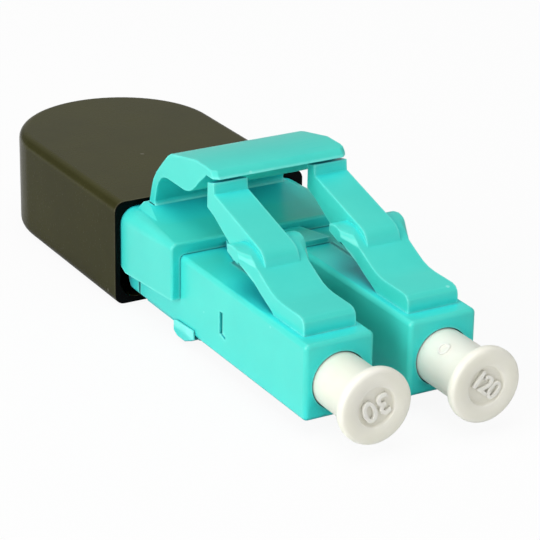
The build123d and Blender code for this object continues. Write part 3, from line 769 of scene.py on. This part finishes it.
trigger_skin = show("trigger_skin", trigger_shape(), aqua_plastic, None, ["trigger"])
soften(trigger_skin, 0.12, segments=4, angle=26, solid=False)
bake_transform(trigger_skin)

# %% [markdown]
# ## Dust caps
# A cap is a plug of soft resin with a flange to pull it by, and a number stands raised in a recess of its face.
# Half of its section is spun round the plug's axis, as it would be turned on a lathe.
# The right one sits further out, as in the photograph.
# The number is text made into a mesh with a small bevel, and turned to face outwards.
# A small ring, as a mould's ejector pin leaves it, stands on each tube. It is a thin hoop bent round the tube.

# %% Cap bodies
cap_reach = {"left": 3.6, "right": 4.1}
tube_radius = 1.56
axis_rise = plug_axis - plug_top


def cap_section(reach):
    """Half section of a cap: distance behind the plug faces and radius."""
    flange = (
        (0.20, 0), (0.20, 0.98), (0.16, 1.04), (0.04, 1.08), (0, 1.14),
        (0, 1.86), (0.03, 1.98), (0.10, 2.05), (0.20, 2.08), (0.44, 2.08), (0.54, 2.05), (0.60, 1.98),
        (0.62, 1.88), (0.62, 1.69), (0.66, 1.61), (0.75, tube_radius),
    )
    tube = (
        (2.0, tube_radius), (4.02, tube_radius), (4.16, 1.51), (4.20, 1.41),
        (4.20, 0.82), (4.14, 0.76), (4.05, 0.75),
    )
    bottom = ((0.72, 0.75), (0.70, 0))
    from_face = [[(back - reach, radius) for back, radius in part] for part in (flange, bottom)]
    return [*from_face[0], *tube, *from_face[1]]


def cap_spun(side, reach):
    """A cap spun round its plug's axis."""
    shape = bmesh.new()
    x = side * pitch / 2
    line = [shape.verts.new(spot(x, back, axis_rise + radius)) for back, radius in cap_section(reach)]
    runs = [shape.edges.new(pair) for pair in zip(line, line[1:])]
    centre = spot(x, 0, axis_rise)
    bmesh.ops.spin(shape, geom=line + runs, cent=centre, axis=(0, 1, 0), angle=2 * pi, steps=72, use_merge=True)
    bmesh.ops.remove_doubles(shape, verts=shape.verts, dist=weld)
    bmesh.ops.recalc_face_normals(shape, faces=shape.faces)
    return shape


for side, tag in sides:
    cap = cap_spun(side, cap_reach[tag])
    dust_plug = show("dust_plug_" + tag, cap, cap_plastic, "cap_" + tag, ["dust_cap_" + tag])
    smooth(dust_plug)
    print(dust_plug.name, "faces:", len(dust_plug.data.polygons))


# %% Raised numbers
number_seat = 0.12


def raised_number(name, words, tag, side, turn, size, packing=1.0):
    """A number standing in a cap's recess."""
    text = bpy.data.curves.new(name, "FONT")
    text.body = words
    text.size = size * mm
    text.space_character = packing
    text.extrude = 0.075 * mm
    text.bevel_depth = 0.03 * mm
    text.bevel_resolution = 1
    text.resolution_u = 6
    text.align_x = "CENTER"
    text.align_y = "CENTER"
    letters = bpy.data.objects.new(name + "_text", text)
    bpy.context.scene.collection.objects.link(letters)
    mesh = final_mesh(letters)
    bpy.data.objects.remove(letters)
    face_on = Matrix.Rotation(radians(turn), 4, "Y") @ Matrix.Rotation(radians(90), 4, "X")
    seat = spot(side * pitch / 2, -cap_reach[tag] + number_seat, axis_rise)
    mesh.transform(Matrix.Translation(seat) @ face_on)
    mesh.materials.clear()
    mesh.materials.append(cap_plastic)
    piece = bpy.data.objects.new(name, mesh)
    bpy.context.scene.collection.objects.link(piece)
    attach(piece, "cap_" + tag)
    print(name, "faces:", len(mesh.polygons))


raised_number("cap_number_left", "30", "left", -1, turn=160, size=1.66)
raised_number("cap_number_right", "120", "right", 1, turn=40, size=1.40, packing=0.86)


# %% Pin marks
ring_radius, ring_thickness = 0.31, 0.07
ring_ahead = 1.48


def pin_mark(name, tag, side, turn):
    """The ring that a mould's pin leaves on a cap's tube: a flat hoop in millimetres, bent to the tube."""
    shape = bmesh.new()
    start = Matrix.Translation((ring_radius, 0, 0)) @ Matrix.Rotation(radians(90), 4, "X")
    bmesh.ops.create_circle(shape, segments=10, radius=ring_thickness, matrix=start)
    bmesh.ops.spin(shape, geom=whole(shape), cent=(0, 0, 0), axis=(0, 0, 1), angle=2 * pi, steps=48, use_merge=True)
    bmesh.ops.remove_doubles(shape, verts=shape.verts, dist=weld / mm)
    for vert in shape.verts:
        lean = radians(turn) + vert.co.x / tube_radius
        out = tube_radius + vert.co.z
        vert.co = spot(side * pitch / 2 + out * sin(lean), vert.co.y - ring_ahead, axis_rise + out * cos(lean))
    bmesh.ops.recalc_face_normals(shape, faces=shape.faces)
    ring = show(name, shape, cap_plastic, "cap_" + tag)
    smooth(ring)
    print(name, "faces:", len(ring.data.polygons))


pin_mark("pin_mark_left", "left", -1, turn=83)
pin_mark("pin_mark_right", "right", 1, turn=-37)
